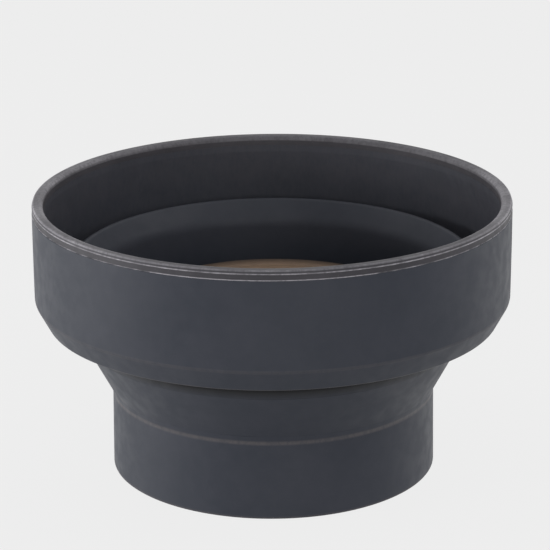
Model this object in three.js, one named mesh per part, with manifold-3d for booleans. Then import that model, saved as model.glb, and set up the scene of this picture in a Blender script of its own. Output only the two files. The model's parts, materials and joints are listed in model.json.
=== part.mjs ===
// A folding mini washer: a round elastomer tub in three telescoping stages on a low drive base.
// The upper stage rolls down over the middle stage, and the middle stage rolls down over the base.
// Inside, a drive tower carries a pulsator disc that a belt turns from a small motor.
// Units are millimetres, +Z is up, and the origin is on the floor under the tub's axis.
// The control button and the charging port face +Y; -Y is the plain side.
import * as THREE from "three";
import { mergeVertices } from "three/addons/utils/BufferGeometryUtils.js";
import Module from "manifold-3d";

const wasm = await Module();
wasm.setup();

// ---- driving dimensions ----
const GAP = 0.3; // clearance between pieces that touch
const TAPER = Math.tan(THREE.MathUtils.degToRad(28)); // every sloping face of the tub leans this far out

const rimTop = 176;
const rimHeight = 5.7;
const rimOuter = 150.8;
const rimInner = 143.9;
const bandOuter = 151; // the upper stage's straight band
const bandInner = 146.5;
const bandBottom = 113.5;
const lipBottom = 99.8; // lowest edge of the upper stage
const lipInner = 140.6;

const crestTop = 137.2; // highest edge of the middle stage
const crestOuter = 126.6;
const throat = 116.7; // middle stage, inner radius
const middleOuter = 124;
const coneTop = 85;
const coneBottom = 51;
const baseOuter = 103.3;
const baseFoot = 103.9; // the base flares a little at the floor
const sleeveBottom = 0.3; // the sleeve stops just short of what the feet stand on
const coneOuterBottom = baseOuter - 0.6;
const coneOuterTop = coneOuterBottom + (coneTop - coneBottom) * TAPER;
const foldWall = 3.4; // the cone's wall, measured across the radius

const housingOuter = 100.7;
const housingWall = 2.5;
const housingInner = housingOuter - housingWall;
const shoulderTop = 45;
const shoulderUnder = shoulderTop - housingWall;
const towerOuter = 90;
const towerInner = towerOuter - housingWall;
const towerFlange = towerOuter + 2.2; // the clamp ring holds the tower down by this flange
const towerTop = 93;
const towerUnder = 90;
const coverBottom = 3.3;
const coverTop = 6;
const gasketTop = coverTop + GAP + 1;
const housingBottom = gasketTop + GAP;

const shaftR = 5;
const shaftTop = 99;
const bearingR = 13;
const bearingWidth = 8;
const ledgeBottom = 62;
const ledgeTop = 78;
const bossOuter = 17;
const bossBottom = 52;

const pulsatorR = 97.5;
const pulsatorTop = 102;
const vaneCount = 6;

const motorY = -58;
const motorR = 21;
const motorFace = shoulderUnder;
const motorTop = 82.5;
const motorScrewX = [-15, 15]; // screws through the bracket, either side of the motor's shaft
const bracketThick = 2.5;
const postAngles = [-118, -62]; // motor bracket posts, degrees round the axis
const postRadius = 84.5;

const beltMid = 32; // height of the belt's middle
const beltWidth = 6;
const beltThick = 2;
const bigPitch = 42.3; // belt centreline radius round the driven pulley
const smallPitch = 9.3;

const coverScrewRadius = 91;
const coverScrewAngles = [45, 135, 225, 315];
const clampScrewRadius = 95;
const clampScrewAngles = [30, 120, 210, 300];
const footRadius = 80;
const footAngles = [0, 90, 180, 270];

const controlHeight = 26; // button and charging port above the floor
const lightHeight = 38.5;
const portX = 28; // charging port, beside the button
const boardNear = 82;
const boardFar = boardNear + 1.6;

const cellR = 9.2;
const cellLength = 65;
const cellBottom = 9;
const cellRingRadius = 62;
const cellAngles = [120, 145, 170];

const LARGE = 32; // facets round the tub and the base
const MEDIUM = 16;
const SMALL = 8;

// ---- materials ----
const finish = (color, roughness, metalness = 0) =>
  new THREE.MeshStandardMaterial({ color, roughness, metalness });
const elastomer = finish(0x3c3f45, 0.72);
const rimElastomer = finish(0x45464a, 0.66);
const seal = finish(0x1b1b1d, 0.6);
const darkPlastic = finish(0x2b2d31, 0.55);
const pulsatorPlastic = finish(0x6b5442, 0.42);
const steel = finish(0xb9bcc0, 0.3, 1);
const whitePlastic = finish(0xd8d8d4, 0.5);
const boardGreen = finish(0x1f4a35, 0.5);
const cellWrap = finish(0x3d6f8f, 0.4);
const leadRed = finish(0x8c2a24, 0.5);
const lightGuide = finish(0xe6e6df, 0.2);

// ---- geometry helpers ----
const rad = THREE.MathUtils.degToRad;

const polar = (radius, degrees) => [
  radius * Math.cos(rad(degrees)),
  radius * Math.sin(rad(degrees)),
];

// Points of an arc in a section, centre (r, z), from angle a to b in degrees.
const arc = (r, z, size, a, b, steps) =>
  Array.from({ length: steps + 1 }, (_, i) => {
    const angle = rad(a + ((b - a) * i) / steps);
    return [r + size * Math.cos(angle), z + size * Math.sin(angle)];
  });

const area = (points) =>
  points.reduce((sum, [x, y], i) => {
    const [nx, ny] = points[(i + 1) % points.length];
    return sum + (x * ny - nx * y) / 2;
  }, 0);

// A section of [r, z] points turned round the Z axis into a closed body.
function turned(section, facets = LARGE) {
  const points = area(section) > 0 ? [...section] : [...section].reverse();
  const onAxis = points.filter(([r]) => r === 0).length;
  if (onAxis === 0) points.push(points[0]);
  else
    while (points[0][0] !== 0 || points[points.length - 1][0] !== 0)
      points.push(points.shift());
  return new THREE.LatheGeometry(
    points.map(([r, z]) => new THREE.Vector2(r, z)),
    facets,
  ).rotateX(Math.PI / 2);
}

const box = (sx, sy, sz, x, y, z) =>
  new THREE.BoxGeometry(sx, sy, sz).translate(x, y, z);

const drum = (radius, bottom, top, [x, y] = [0, 0], facets = SMALL) =>
  new THREE.CylinderGeometry(radius, radius, top - bottom, facets)
    .rotateX(Math.PI / 2)
    .translate(x, y, (top + bottom) / 2);

// A cylinder lying along Y, from y = near to y = far.
const barrel = (radius, near, far, z, facets = MEDIUM) =>
  new THREE.CylinderGeometry(radius, radius, far - near, facets).translate(0, (near + far) / 2, z);

const prism = (shape, bottom, top, curveSegments = 8) =>
  new THREE.ExtrudeGeometry(shape, { depth: top - bottom, bevelEnabled: false, curveSegments })
    .translate(0, 0, bottom);

// A round-ended bar lying along Y, wide in X.
function slotBar(width, height, near, far, z) {
  const r = height / 2;
  const shape = new THREE.Shape();
  shape.absarc(width / 2 - r, 0, r, -Math.PI / 2, Math.PI / 2);
  shape.absarc(-width / 2 + r, 0, r, Math.PI / 2, (3 * Math.PI) / 2);
  return new THREE.ExtrudeGeometry(shape, { depth: far - near, bevelEnabled: false, curveSegments: 4 })
    .rotateX(Math.PI / 2)
    .translate(0, far, z);
}

function toSolid(geometry) {
  const bare = geometry.clone();
  bare.deleteAttribute("normal");
  bare.deleteAttribute("uv");
  const merged = mergeVertices(bare, 1e-4);
  const index = merged.index.array;
  const triangles = [];
  for (let i = 0; i < index.length; i += 3) {
    const [a, b, c] = [index[i], index[i + 1], index[i + 2]];
    if (a !== b && b !== c && c !== a) triangles.push(a, b, c);
  }
  return new wasm.Manifold(
    new wasm.Mesh({
      numProp: 3,
      vertProperties: merged.attributes.position.array,
      triVerts: new Uint32Array(triangles),
    }),
  );
}

function toGeometry(solid) {
  const mesh = solid.getMesh();
  const geometry = new THREE.BufferGeometry()
    .setAttribute("position", new THREE.BufferAttribute(mesh.vertProperties, 3))
    .setIndex(new THREE.BufferAttribute(mesh.triVerts, 1));
  geometry.computeVertexNormals();
  return geometry;
}

// base with some geometries added, then some cut away.
function carve(base, { add = [], cut = [] }) {
  let solid = toSolid(base);
  for (const piece of add) solid = solid.add(toSolid(piece));
  for (const piece of cut) solid = solid.subtract(toSolid(piece));
  return toGeometry(solid);
}

const part = new THREE.Group();

function put(name, geometry, material) {
  const mesh = new THREE.Mesh(geometry, material);
  mesh.name = name;
  part.add(mesh);
  return mesh;
}

// ---- the tub: three stages and the two fold walls between them ----
function addUpperStage() {
  const rimBottom = rimTop - rimHeight;
  put(
    "rim_ring",
    turned([
      [rimInner, rimBottom],
      [bandOuter - 0.4, rimBottom],
      [rimOuter, rimTop - 0.6],
      [rimOuter - 0.6, rimTop],
      [rimInner + 1, rimTop],
      [rimInner, rimTop - 1],
    ]),
    rimElastomer,
  );

  const wallTop = rimBottom - GAP;
  const hoopSeat = wallTop - 3.6;
  const hoopIn = rimInner + 1.7;
  const hoopOut = bandOuter - 2.2;
  put(
    "upper_wall",
    turned([
      [bandOuter, bandBottom + GAP],
      [bandOuter, wallTop],
      [hoopOut, wallTop],
      [hoopOut, hoopSeat],
      [hoopIn, hoopSeat],
      [hoopIn, wallTop],
      [rimInner, wallTop],
      [rimInner, hoopSeat - 1],
      [bandInner, bandBottom + 12],
      [bandInner, bandBottom + GAP],
    ]),
    elastomer,
  );
  put(
    "upper_lip",
    turned([
      [bandOuter, bandBottom],
      [bandInner, bandBottom],
      [lipInner, bandBottom - (bandInner - lipInner) / TAPER],
      [lipInner, lipBottom + 1],
      [lipInner + 1, lipBottom],
      [bandOuter - (bandBottom - lipBottom) * TAPER, lipBottom],
    ]),
    elastomer,
  );
  put(
    "rim_hoop",
    turned([
      [hoopIn + GAP, hoopSeat + GAP],
      [hoopOut - GAP, hoopSeat + GAP],
      [hoopOut - GAP, wallTop],
      [hoopIn + GAP, wallTop],
    ]),
    steel,
  );
}

function addMiddleStage() {
  const hoopLow = 112;
  const hoopHigh = 116;
  const hoopDepth = 2.3;
  const crestEdge = 2.6; // height of the straight edge under the crest
  const flareLow = crestTop - (crestOuter - middleOuter) / TAPER - crestEdge;
  put(
    "middle_wall",
    turned([
      [coneOuterTop + GAP * TAPER, coneTop + GAP],
      [middleOuter, coneTop + (middleOuter - coneOuterTop) / TAPER],
      [middleOuter, hoopLow],
      [middleOuter - hoopDepth, hoopLow],
      [middleOuter - hoopDepth, hoopHigh],
      [middleOuter, hoopHigh],
      [middleOuter, flareLow],
      [crestOuter, crestTop - crestEdge],
      [crestOuter, crestTop - 1],
      [crestOuter - 1, crestTop],
      [crestOuter - 2, crestTop],
      [throat, crestTop - (crestOuter - 2 - throat) / TAPER],
      [throat, coneTop + 4],
      [coneOuterTop - foldWall, coneTop + GAP],
    ]),
    elastomer,
  );
  put(
    "middle_hoop",
    turned([
      [middleOuter - hoopDepth + GAP, hoopLow + GAP],
      [middleOuter, hoopLow + GAP],
      [middleOuter, hoopHigh - GAP],
      [middleOuter - hoopDepth + GAP, hoopHigh - GAP],
    ]),
    darkPlastic,
  );
}

function addFoldWalls() {
  const thick = 2.2;
  put(
    "upper_fold",
    turned([
      [crestOuter + GAP, crestTop - 1],
      [crestOuter + GAP + thick, crestTop - 1.8],
      [lipInner - GAP, lipBottom + 3.6],
      [lipInner - GAP - thick, lipBottom + 1.2],
    ]),
    elastomer,
  );
  put(
    "lower_fold",
    turned([
      [coneOuterBottom, coneBottom],
      [coneOuterTop, coneTop],
      [coneOuterTop - foldWall, coneTop],
      [coneOuterBottom - foldWall, coneBottom],
    ]),
    elastomer,
  );
}

// ---- the base ----
// Each hole through the base wall at the control side, as a cutter reaching well past the wall.
const wallHoles = (buttonR, lightR, portWidth, portHeight) => {
  const near = housingInner - 8;
  const far = baseFoot + 4;
  return [
    barrel(buttonR, near, far, controlHeight),
    barrel(lightR, near, far, lightHeight, SMALL),
    slotBar(portWidth, portHeight, near, far, controlHeight).translate(portX, 0, 0),
  ];
};

const flangeTop = shoulderTop + GAP + 2.7;

function addSleeve() {
  const sleeve = turned([
    [baseFoot - 0.7, sleeveBottom],
    [baseFoot, sleeveBottom + 0.7],
    [baseOuter, coneBottom - GAP],
    [baseOuter - foldWall, coneBottom - GAP],
    [baseOuter - foldWall, flangeTop],
    [towerOuter + 2.5, flangeTop],
    [towerOuter + 2.5, shoulderTop + GAP],
    [housingOuter + GAP, shoulderTop + GAP],
    [housingOuter + GAP, coverBottom - GAP],
    [housingOuter - 3.7, coverBottom - GAP],
    [housingOuter - 3.7, sleeveBottom],
  ]);
  const screwHoles = clampScrewAngles.map((a) =>
    drum(1.7, shoulderTop - 1, flangeTop + 1, polar(clampScrewRadius, a)),
  );
  put(
    "base_sleeve",
    carve(sleeve, { cut: [...wallHoles(11.3, 1.9, 12.6, 7), ...screwHoles] }),
    elastomer,
  );

  const ringTop = flangeTop + GAP + 2.7;
  const ring = turned([
    [towerOuter + 1.5, flangeTop + GAP],
    [baseOuter - foldWall - 1.2, flangeTop + GAP],
    [baseOuter - foldWall - 1.2, ringTop - 1],
    [baseOuter - foldWall - 2.2, ringTop],
    [towerOuter + 1.5, ringTop],
  ]);
  const seats = clampScrewAngles.flatMap((a) => [
    drum(1.7, flangeTop, ringTop + 1, polar(clampScrewRadius, a)),
    drum(2.9, ringTop - 1.6, ringTop + 1, polar(clampScrewRadius, a)),
  ]);
  put("sleeve_clamp_ring", carve(ring, { cut: seats }), darkPlastic);
  clampScrewAngles.forEach((a, i) => {
    const screw = turned(
      [
        [0, shoulderTop - 8],
        [1.4, shoulderTop - 8],
        [1.4, ringTop - 1.3],
        [2.6, ringTop - 1.3],
        [2.2, ringTop - 0.1],
        [0, ringTop - 0.1],
      ],
      SMALL,
    );
    put(`clamp_screw_${i + 1}`, screw, steel).position.set(...polar(clampScrewRadius, a), 0);
  });
}

function addHousing() {
  const shoulderInner = towerInner + 1.5;
  const shell = turned([
    [housingInner, housingBottom],
    [housingOuter, housingBottom],
    [housingOuter, shoulderTop],
    [shoulderInner, shoulderTop],
    [shoulderInner, shoulderUnder],
    [housingInner, shoulderUnder],
  ]);
  const coverPosts = coverScrewAngles.map((a) =>
    drum(4, housingBottom, shoulderUnder + 1, polar(coverScrewRadius, a)),
  );
  const clampPosts = clampScrewAngles.map((a) =>
    drum(3.2, shoulderTop - 11, shoulderUnder + 1, polar(clampScrewRadius - 0.6, a)),
  );
  const coverHoles = coverScrewAngles.map((a) =>
    drum(1.6, housingBottom - 1, housingBottom + 12, polar(coverScrewRadius, a)),
  );
  const clampHoles = clampScrewAngles.map((a) =>
    drum(1.7, shoulderTop - 9, shoulderTop + 1, polar(clampScrewRadius, a)),
  );
  put(
    "drive_housing",
    carve(shell, {
      add: [...coverPosts, ...clampPosts],
      cut: [...coverHoles, ...clampHoles, ...wallHoles(9.3, 1.8, 12, 6.4)],
    }),
    darkPlastic,
  );
}

// The tower stands on the housing's shoulder. It carries the bearings and the motor's bracket.
function addTower() {
  const shell = turned([
    [towerInner, shoulderTop + GAP],
    [towerFlange, shoulderTop + GAP],
    [towerFlange, flangeTop],
    [towerOuter, flangeTop],
    [towerOuter, towerTop - 3],
    [towerOuter - 3, towerTop],
    [bearingR + GAP, towerTop],
    [bearingR + GAP, ledgeTop],
    [bearingR - 4, ledgeTop],
    [bearingR - 4, ledgeBottom],
    [bearingR + GAP, ledgeBottom],
    [bearingR + GAP, bossBottom],
    [bossOuter, bossBottom],
    [bossOuter, towerUnder],
    [towerInner, towerUnder],
  ]);
  const bracketPosts = postAngles.map((a) =>
    drum(4, shoulderUnder, towerUnder + 1, polar(postRadius, a)),
  );
  const bracketHoles = postAngles.map((a) =>
    drum(1.6, shoulderUnder - 1, shoulderUnder + 12, polar(postRadius, a)),
  );
  put("drive_tower", carve(shell, { add: bracketPosts, cut: bracketHoles }), darkPlastic);
}

function addBottomCover() {
  const spigot = housingInner - GAP;
  const disc = turned([
    [0, coverBottom],
    [housingOuter, coverBottom],
    [housingOuter, coverTop],
    [spigot, coverTop],
    [spigot, coverTop + 2.5],
    [spigot - 2, coverTop + 2.5],
    [spigot - 2, coverTop - 0.2],
    [0, coverTop - 0.2],
  ]);
  const screwHoles = coverScrewAngles.flatMap((a) => [
    drum(1.8, coverBottom - 1, coverTop + 1, polar(coverScrewRadius, a)),
    drum(3.4, coverBottom - 1, coverBottom + 1.4, polar(coverScrewRadius, a)),
  ]);
  const footSeats = footAngles.map((a) =>
    drum(9.3, coverBottom - 1, coverBottom + 1.3, polar(footRadius, a), MEDIUM),
  );
  put("bottom_cover", carve(disc, { cut: [...screwHoles, ...footSeats] }), darkPlastic);
  put(
    "cover_gasket",
    turned([
      [housingInner + 0.2, coverTop + GAP],
      [housingOuter - 0.2, coverTop + GAP],
      [housingOuter - 0.2, gasketTop],
      [housingInner + 0.2, gasketTop],
    ]),
    seal,
  );
  coverScrewAngles.forEach((a, i) => {
    const screw = turned(
      [
        [0, coverBottom + 0.1],
        [3, coverBottom + 0.1],
        [3, coverBottom + 1.1],
        [1.3, coverBottom + 1.1],
        [1.3, housingBottom + 9],
        [0, housingBottom + 9],
      ],
      SMALL,
    );
    put(`cover_screw_${i + 1}`, screw, steel).position.set(...polar(coverScrewRadius, a), 0);
  });
  footAngles.forEach((a, i) => {
    const foot = turned(
      [
        [0, 0],
        [8.2, 0],
        [9, 0.8],
        [9, coverBottom + 1],
        [0, coverBottom + 1],
      ],
      MEDIUM,
    );
    put(`foot_${i + 1}`, foot, seal).position.set(...polar(footRadius, a), 0);
  });
}

// ---- the pulsator and its shaft ----
const bearingSection = (bottom) => {
  const top = bottom + bearingWidth;
  return [
    [shaftR + GAP, bottom],
    [shaftR + 2.4, bottom],
    [shaftR + 2.8, bottom + 0.5],
    [bearingR - 2.2, bottom + 0.5],
    [bearingR - 1.8, bottom],
    [bearingR, bottom],
    [bearingR, top],
    [bearingR - 1.8, top],
    [bearingR - 2.2, top - 0.5],
    [shaftR + 2.8, top - 0.5],
    [shaftR + 2.4, top],
    [shaftR + GAP, top],
  ];
};

function addShaftLine() {
  put("upper_bearing", turned(bearingSection(ledgeTop + GAP), 16), steel);
  put("lower_bearing", turned(bearingSection(ledgeBottom - GAP - bearingWidth), 16), steel);

  const clipTop = ledgeBottom - 2 * GAP - bearingWidth;
  const clipRing = turned(
    [
      [bearingR - 2.4, clipTop - 1],
      [bearingR, clipTop - 1],
      [bearingR, clipTop],
      [bearingR - 2.4, clipTop],
    ],
    20,
  );
  put(
    "bearing_clip",
    carve(clipRing, { cut: [box(6, 8, 4, 0, bearingR, clipTop)] }),
    steel,
  );

  const sealBottom = ledgeTop + 2 * GAP + bearingWidth;
  put(
    "shaft_seal",
    turned(
      [
        [bearingR, sealBottom],
        [bearingR, towerTop - 0.6],
        [9, towerTop - 0.6],
        [7, towerTop - 1.8],
        [shaftR + GAP, towerTop - 3.4],
        [shaftR + GAP, towerTop - 4.4],
        [7.5, towerTop - 4.8],
        [11, towerTop - 5.4],
        [11, sealBottom],
      ],
      20,
    ),
    seal,
  );

  const grooveLow = beltMid - 7.6;
  put(
    "drive_shaft",
    turned(
      [
        [0, beltMid - 9],
        [shaftR, beltMid - 9],
        [shaftR, grooveLow],
        [shaftR - 0.9, grooveLow],
        [shaftR - 0.9, grooveLow + 1.4],
        [shaftR, grooveLow + 1.4],
        [shaftR, shaftTop],
        [2.7, shaftTop],
        [2.7, shaftTop - 13],
        [0, shaftTop - 13],
      ],
      20,
    ),
    steel,
  );
  const clip = turned(
    [
      [shaftR - 0.6, grooveLow + 0.25],
      [shaftR + 3.4, grooveLow + 0.25],
      [shaftR + 3.4, grooveLow + 1.15],
      [shaftR - 0.6, grooveLow + 1.15],
    ],
    20,
  );
  put(
    "pulley_clip",
    carve(clip, { cut: [box(5, 10, 4, 0, shaftR + 2, grooveLow)] }),
    steel,
  );
}

function addPulsator() {
  const edge = 4; // rounding of the disc's rim
  const seat = 101; // the screw's head stands just above this
  const under = 97.3; // underside of the disc
  const skirtBottom = towerTop + 2.2;
  const bossR = 12;
  const hubR = 8.5; // well for the screw's head and the cap
  const hubTop = 106;
  const disc = turned([
    [2.9, shaftTop + GAP],
    [shaftR + GAP, shaftTop + GAP],
    [shaftR + GAP, towerTop + 1.5],
    [bossR, towerTop + 1.5],
    [bossR, under],
    [86, under],
    [90, under + 1.5],
    [94.6, under + 0.9],
    [94.8, skirtBottom],
    [pulsatorR, skirtBottom],
    ...arc(pulsatorR - edge, pulsatorTop - edge, edge, 0, 90, 3),
    [60, pulsatorTop - 2.1],
    [24, pulsatorTop - 1.6],
    [16, hubTop - 1.5],
    [11, hubTop],
    [hubR, hubTop],
    [hubR, seat],
    [2.9, seat],
  ]);
  const [vaneStart, vaneCrest, vaneEnd] = [14, 30, 74]; // distances out from the axis
  const [vaneFoot, vaneTip, vaneTop] = [98.5, 101, 105.2];
  const vaneWidth = 9;
  const side = new THREE.Shape([
    new THREE.Vector2(vaneStart, vaneFoot),
    new THREE.Vector2(vaneEnd, vaneFoot),
    new THREE.Vector2(vaneEnd, vaneTip),
    new THREE.Vector2(vaneCrest, vaneTop),
    new THREE.Vector2(vaneStart, vaneTop),
  ]);
  const vanes = Array.from({ length: vaneCount }, (_, i) =>
    new THREE.ExtrudeGeometry(side, { depth: vaneWidth, bevelEnabled: false })
      .rotateX(Math.PI / 2)
      .translate(0, vaneWidth / 2, 0)
      .rotateZ((2 * Math.PI * (i + 0.5)) / vaneCount),
  );
  put("pulsator", carve(disc, { add: vanes }), pulsatorPlastic);
  put(
    "pulsator_screw",
    turned(
      [
        [0, shaftTop - 10],
        [2.4, shaftTop - 10],
        [2.4, seat + GAP],
        [4.8, seat + GAP],
        [4.8, seat + 3.2],
        [0, seat + 3.2],
      ],
      SMALL,
    ),
    steel,
  );
  put(
    "pulsator_cap",
    turned(
      [
        [0, seat + 3.6],
        [hubR - GAP, seat + 3.6],
        [hubR - GAP, hubTop + 0.2],
        [5, hubTop + 1.2],
        [0, hubTop + 1.5],
      ],
      20,
    ),
    pulsatorPlastic,
  );
}

// ---- motor, belt and pulleys ----
// Both runs of the belt lie at this angle either side of the line of centres.
const wrap = Math.acos((bigPitch - smallPitch) / -motorY);

function beltLoop(Path, offset) {
  const path = new Path();
  const down = -Math.PI / 2; // the small pulley lies towards -Y
  path.absarc(0, 0, bigPitch + offset, down + wrap, down - wrap + 2 * Math.PI, false);
  path.absarc(0, motorY, smallPitch + offset, down - wrap, down + wrap, false);
  path.closePath();
  return path;
}

function pulleySection(pitch, bore, hub, hubTop) {
  const low = beltMid - 6;
  const high = beltMid + 6;
  const tread = pitch - beltThick / 2 - GAP;
  const flange = pitch + beltThick / 2 + 0.2;
  const web = hub > 0;
  return [
    [bore, low],
    ...(web ? [[hub, low], [hub, beltMid - 2], [tread - 4, beltMid - 2], [tread - 4, low]] : []),
    [flange, low],
    [flange, low + 1.5],
    [tread, low + 2.4],
    [tread, high - 2.4],
    [flange, high - 1.5],
    [flange, high],
    ...(web ? [[tread - 4, high], [tread - 4, beltMid + 2], [hub, beltMid + 2], [hub, hubTop]] : []),
    [bore, web ? hubTop : high],
  ];
}

function addDrive() {
  put("driven_pulley", turned(pulleySection(bigPitch, shaftR + GAP, 10, 44), 24), darkPlastic);
  const belt = beltLoop(THREE.Shape, beltThick / 2);
  belt.holes.push(beltLoop(THREE.Path, -beltThick / 2));
  put("drive_belt", prism(belt, beltMid - beltWidth / 2, beltMid + beltWidth / 2, 12), seal);

  const motorShaftR = 2.5;
  const shaftHoleTop = 60; // how far the shaft's hole runs up the motor
  const atMotor = (mesh) => mesh.position.set(0, motorY, 0);
  atMotor(put("motor_pulley", turned(pulleySection(smallPitch, motorShaftR + GAP, 0, 0), 16), steel));
  atMotor(
    put(
      "motor_shaft",
      turned(
        [
          [0, beltMid - 7],
          [motorShaftR, beltMid - 7],
          [motorShaftR, shaftHoleTop - 2],
          [0, shaftHoleTop - 2],
        ],
        12,
      ),
      steel,
    ),
  );
  const motorBody = turned(
    [
      [0, shaftHoleTop],
      [motorShaftR + GAP, shaftHoleTop],
      [motorShaftR + GAP, motorFace - bracketThick],
      [6.5, motorFace - bracketThick],
      [6.5, motorFace],
      [motorR, motorFace],
      [motorR, motorTop - 2],
      [motorR - 2, motorTop],
      [0, motorTop],
    ],
    MEDIUM,
  );
  const motorHoles = motorScrewX.map((x) => drum(1.5, motorFace - 1, motorFace + 6, [x, 0]));
  atMotor(put("motor", carve(motorBody, { cut: motorHoles }), steel));

  const plateTop = motorFace - GAP;
  const plateBottom = plateTop - bracketThick;
  const arms = postAngles.map((a) => {
    const [x, y] = polar(postRadius, a);
    const length = Math.hypot(x, y - motorY);
    return box(length, 12, bracketThick, length / 2, 0, (plateTop + plateBottom) / 2)
      .rotateZ(Math.atan2(y - motorY, x))
      .translate(0, motorY, 0);
  });
  const ends = postAngles.map((a) => drum(6, plateBottom, plateTop, polar(postRadius, a), 16));
  put(
    "motor_bracket",
    carve(drum(24, plateBottom, plateTop, [0, motorY], MEDIUM), {
      add: [...arms, ...ends],
      cut: [
        drum(7, plateBottom - 1, plateTop + 1, [0, motorY], 16),
        ...motorScrewX.map((x) => drum(1.5, plateBottom - 1, plateTop + 1, [x, motorY])),
        ...postAngles.map((a) => drum(1.8, plateBottom - 1, plateTop + 1, polar(postRadius, a))),
      ],
    }),
    steel,
  );
  const head = plateBottom - GAP;
  const screw = (shankR, headR, headHeight, reach) =>
    turned(
      [
        [0, head - headHeight],
        [headR, head - headHeight],
        [headR, head],
        [shankR, head],
        [shankR, reach],
        [0, reach],
      ],
      SMALL,
    );
  postAngles.forEach((a, i) => {
    const bracketScrew = screw(1.3, 3, 2, shoulderUnder + 9);
    put(`bracket_screw_${i + 1}`, bracketScrew, steel).position.set(...polar(postRadius, a), 0);
  });
  motorScrewX.forEach((x, i) => {
    const motorScrew = screw(1.2, 2.6, 1.4, motorFace + 5);
    put(`motor_screw_${i + 1}`, motorScrew, steel).position.set(x, motorY, 0);
  });
}

// ---- battery, boards, button and port ----
function lead(name, points, material) {
  const section = new THREE.Shape();
  section.absarc(0, 0, 1.6, 0, 2 * Math.PI);
  const path = new THREE.CatmullRomCurve3(points.map((p) => new THREE.Vector3(...p)));
  const shape = new THREE.ExtrudeGeometry(section, { steps: 20, extrudePath: path, curveSegments: 4 });
  put(name, toGeometry(toSolid(shape)), material);
}

function addBattery() {
  const plate = new THREE.Shape();
  const span = [rad(cellAngles[0] - 9), rad(cellAngles[2] + 9)];
  plate.absarc(0, 0, cellRingRadius + 11, span[0], span[1], false);
  plate.absarc(0, 0, cellRingRadius - 11, span[1], span[0], true);
  const floor = coverTop + 0.1;
  const cups = cellAngles.map((a) => drum(11.5, floor, 20, polar(cellRingRadius, a), 16));
  const wells = cellAngles.map((a) =>
    drum(cellR + GAP, cellBottom - GAP, 21, polar(cellRingRadius, a), 16),
  );
  put("battery_tray", carve(prism(plate, floor, floor + 2), { add: cups, cut: wells }), whitePlastic);
  cellAngles.forEach((a, i) => {
    const top = cellBottom + cellLength;
    const cell = turned(
      [[0, cellBottom], [cellR, cellBottom], [cellR, top - 1.6], [3.2, top - 1.6], [3.2, top], [0, top]],
      16,
    );
    put(`battery_cell_${i + 1}`, cell, cellWrap).position.set(...polar(cellRingRadius, a), 0);
  });
  const [cellX, cellY] = polar(cellRingRadius, cellAngles[0]);
  lead(
    "battery_lead",
    [
      [cellX, cellY, 75],
      [cellX, cellY + 1, 79],
      [-29.5, 62, 81.5],
      [-28, 69, 76],
      [-26, 73, 62],
      [-23, 72, 46],
      [-20, 74.5, 36.5],
      [-20, 81, 35],
    ],
    leadRed,
  );
  lead(
    "motor_lead",
    [
      [8, motorY, motorTop + 0.8],
      [9, motorY, 85.5],
      [14, -60, 87],
      [31, -61, 86.5],
      [53, -51, 83],
      [69, -28, 75],
      [76, 2, 63],
      [71, 32, 51],
      [55, 57, 44],
      [34, 66, 40],
      [20, 74, 36],
      [20, 81, 35],
    ],
    leadRed,
  );
}

function addControls() {
  const boardWide = 64;
  const boardHigh = 30;
  const boardX = 6;
  put(
    "control_board",
    box(boardWide, boardFar - boardNear, boardHigh, boardX, (boardNear + boardFar) / 2, controlHeight),
    boardGreen,
  );
  put(
    "button_switch",
    carve(box(6, 7, 6, 0, boardFar + GAP + 3.5, controlHeight), {
      add: [barrel(1.7, boardFar + 7, boardFar + 8.8, controlHeight, SMALL)],
    }),
    seal,
  );

  const barrelEnd = housingInner - 1.7;
  const bezelFace = baseOuter + 0.9;
  put(
    "button_bezel",
    carve(barrel(11, housingOuter + GAP, bezelFace, controlHeight), {
      add: [barrel(9, barrelEnd, housingOuter + 1, controlHeight)],
      cut: [barrel(7.3, barrelEnd - 1, bezelFace + 1, controlHeight)],
    }),
    steel,
  );
  put(
    "power_button",
    carve(barrel(7, 96, bezelFace + 0.5, controlHeight), {
      add: [
        barrel(8.5, barrelEnd - GAP - 1.2, barrelEnd - GAP, controlHeight),
        barrel(2.5, 94.3, 97, controlHeight, SMALL),
      ],
    }),
    darkPlastic,
  );
  put("status_light", barrel(1.5, boardFar + 0.6, baseOuter + 0.4, lightHeight, SMALL), lightGuide);
  put(
    "charge_socket",
    carve(slotBar(9, 3.2, boardFar + GAP, 91.6, controlHeight), {
      cut: [slotBar(8.2, 2.4, boardFar + 2, 93, controlHeight)],
    }).translate(portX, 0, 0),
    steel,
  );

  // The flap is a patch of a thin cylinder round the base, with a plug on its inner side.
  const flapIn = baseFoot + 0.1;
  const flapHeight = 10;
  const flapLow = controlHeight - flapHeight / 2;
  const flapHigh = controlHeight + flapHeight / 2;
  const patch = (inner, outer, window) => {
    const band = turned(
      [
        [inner, flapLow],
        [outer, flapLow],
        [outer, flapHigh],
        [inner, flapHigh],
      ],
      180,
    );
    return toSolid(band).intersect(toSolid(window.translate(portX, 0, 0)));
  };
  const skin = patch(flapIn, flapIn + 1.6, slotBar(17, flapHeight, 90, 110, controlHeight));
  const plugEnd = 97.7;
  const plug = patch(98, flapIn + 0.8, slotBar(9.6, 4.2, plugEnd, 110, controlHeight));
  put("port_cover", toGeometry(skin.add(plug)), elastomer);
}

addUpperStage();
addMiddleStage();
addFoldWalls();
addSleeve();
addHousing();
addTower();
addBottomCover();
addShaftLine();
addPulsator();
addDrive();
addBattery();
addControls();

export default part;
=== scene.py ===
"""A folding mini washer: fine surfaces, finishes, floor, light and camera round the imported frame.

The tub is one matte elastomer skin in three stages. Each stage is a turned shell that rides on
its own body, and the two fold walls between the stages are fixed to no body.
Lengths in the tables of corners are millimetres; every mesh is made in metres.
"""

import json
import math

import bmesh
import bpy
from mathutils import Matrix, Vector, noise


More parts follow.
